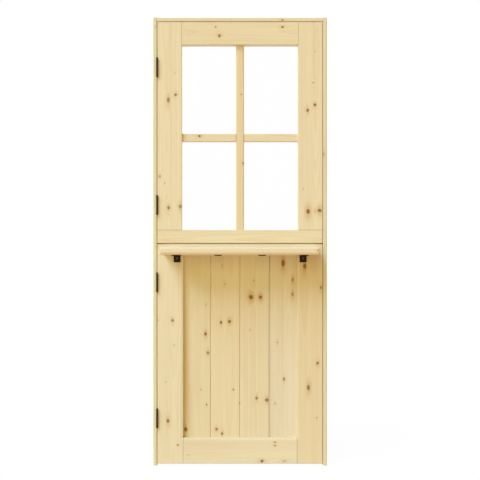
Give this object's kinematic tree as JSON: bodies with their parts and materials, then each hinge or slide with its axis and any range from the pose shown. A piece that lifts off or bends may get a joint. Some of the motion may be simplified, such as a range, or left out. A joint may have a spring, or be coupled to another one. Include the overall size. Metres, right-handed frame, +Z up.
{
  "type": "dutch stable door",
  "caption": "pine stable door in its frame: glazed upper leaf and boarded lower leaf with a shelf swing separately on black butt hinges",
  "frame": {"origin": "middle of the threshold's underside, on the floor, halfway through the frame's stops", "axes": "+X to the latch side, +Y into the building, +Z up; the leaves open towards -Y"},
  "size_m": [0.776, 0.22, 2],
  "materials": {
    "pine": "planed, clear",
    "clear_glass": "clear",
    "black_steel": "black powder coat",
    "screw_steel": "zinc plated"
  },
  "bodies": {
    "frame": {"hinge_jamb": "pine", "latch_jamb": "pine", "frame_head": "pine", "threshold": "pine", "frame_corner_screws": "screw_steel", "frame_hardware_screws": "screw_steel", "lower_bolt_strike": "black_steel", "upper_top_hinge_frame_leaf": "black_steel", "upper_bottom_hinge_frame_leaf": "black_steel", "lower_top_hinge_frame_leaf": "black_steel", "lower_bottom_hinge_frame_leaf": "black_steel", "upper_top_hinge_pin": "black_steel", "upper_bottom_hinge_pin": "black_steel", "lower_top_hinge_pin": "black_steel", "lower_bottom_hinge_pin": "black_steel"},
    "upper_leaf": {"upper_hinge_stile": "pine", "upper_latch_stile": "pine", "upper_top_rail": "pine", "upper_meeting_rail": "pine", "vertical_glazing_bar": "pine", "left_glazing_bar": "pine", "right_glazing_bar": "pine", "glass_pane": "clear_glass", "top_glazing_bead": "pine", "bottom_glazing_bead": "pine", "left_glazing_bead": "pine", "right_glazing_bead": "pine", "upper_top_hinge_door_leaf": "black_steel", "upper_bottom_hinge_door_leaf": "black_steel", "upper_hardware_screws": "screw_steel", "coupling_bolt_base": "black_steel", "draught_strip": "pine"},
    "lower_leaf": {"lower_hinge_stile": "pine", "lower_latch_stile": "pine", "lower_meeting_rail": "pine", "lower_bottom_rail": "pine", "panel_board_1": "pine", "panel_board_2": "pine", "panel_board_3": "pine", "panel_board_4": "pine", "shelf": "pine", "outer_left_bracket": "black_steel", "inner_left_bracket": "black_steel", "inner_right_bracket": "black_steel", "outer_right_bracket": "black_steel", "shelf_bracket_screws": "screw_steel", "lower_top_hinge_door_leaf": "black_steel", "lower_bottom_hinge_door_leaf": "black_steel", "lower_hardware_screws": "screw_steel", "lower_bolt_base": "black_steel", "coupling_bolt_keeper": "black_steel"},
    "coupling_bolt": {"coupling_bolt_rod": "black_steel"},
    "lower_bolt": {"lower_bolt_rod": "black_steel"}
  },
  "joints": [
    {"name": "upper_leaf_swing", "type": "hinge", "parent": "frame", "child": "upper_leaf", "pos_m": [-0.37, -0.073, 1.486], "axis": [0, 0, -1], "range_deg": [0, 170]},
    {"name": "lower_leaf_swing", "type": "hinge", "parent": "frame", "child": "lower_leaf", "pos_m": [-0.37, -0.073, 0.497], "axis": [0, 0, -1], "range_deg": [0, 95]},
    {"name": "lower_bolt_slide", "type": "slide", "parent": "lower_leaf", "child": "lower_bolt", "axis": [1, 0, 0], "range_m": [0, 0.028]},
    {"name": "coupling_bolt_slide", "type": "slide", "parent": "upper_leaf", "child": "coupling_bolt", "axis": [0, 0, -1], "range_m": [0, 0.028]}
  ]
}
